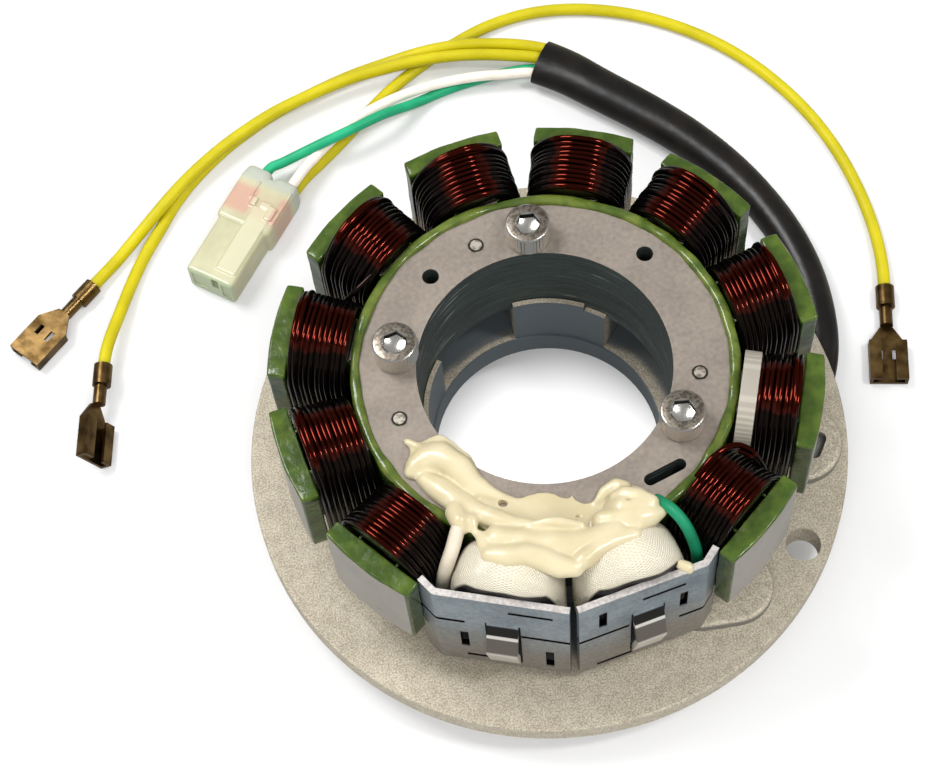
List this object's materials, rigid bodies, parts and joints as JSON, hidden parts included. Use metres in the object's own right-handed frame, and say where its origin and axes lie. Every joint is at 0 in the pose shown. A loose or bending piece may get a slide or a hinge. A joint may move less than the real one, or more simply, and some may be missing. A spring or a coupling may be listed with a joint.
{
  "type": "wound stator",
  "caption": "Ring-shaped wound stator on a round cast backplate, with copper coils on a toothed core, cloth-wrapped source coils and a loose wiring harness.",
  "frame": {"origin": "on the bore axis, at the surface that the register ring under the backplate stands on", "axes": "+Z along the bore axis from the backplate to the core; -Y runs between the two source coils, towards the viewer of the picture"},
  "size_m": [0.2192, 0.202, 0.0619],
  "materials": {
    "cast_aluminium": "bead-blasted casting, machined rim",
    "core_steel": "ground steel laminations",
    "green_epoxy": "glossy epoxy coat",
    "enamelled_wire": "dark red-brown wire enamel",
    "cloth_tape": "woven white cotton tape",
    "zinc_sheet": "bluish zinc-plated sheet",
    "screw_steel": "bright plated steel",
    "nylon": "natural nylon",
    "sealant": "glossy cream silicone",
    "white_insulation": "satin vinyl",
    "green_insulation": "satin vinyl",
    "yellow_insulation": "satin vinyl",
    "black_sleeve": "satin black sleeve",
    "clear_nylon": "translucent natural nylon",
    "contact_brass": "bare brass",
    "terminal_brass": "bare brass"
  },
  "bodies": {
    "root": {"backplate": "cast_aluminium", "stator_core": "core_steel", "core_insulation": "green_epoxy", "coil_01": "enamelled_wire", "coil_02": "enamelled_wire", "coil_03": "enamelled_wire", "coil_04": "enamelled_wire", "coil_05": "enamelled_wire", "coil_08": "enamelled_wire", "coil_09": "enamelled_wire", "coil_10": "enamelled_wire", "coil_11": "enamelled_wire", "coil_12": "enamelled_wire", "source_coil_right": "cloth_tape", "source_coil_left": "cloth_tape", "pole_plate_right": "zinc_sheet", "pole_plate_left": "zinc_sheet", "cap_screws": "screw_steel", "core_rivets": "screw_steel", "cable_tie": "nylon", "silicone_bead": "sealant", "white_lead_stub": "white_insulation", "green_lead_stub": "green_insulation", "harness_sleeve": "black_sleeve", "yellow_lead_1": "yellow_insulation", "yellow_lead_2": "yellow_insulation", "yellow_lead_3": "yellow_insulation", "white_lead": "white_insulation", "green_lead": "green_insulation", "connector_housing": "clear_nylon", "contact_1": "contact_brass", "contact_2": "contact_brass", "blade_terminal_1": "terminal_brass", "blade_terminal_2": "terminal_brass", "blade_terminal_3": "terminal_brass"}
  },
  "joints": []
}
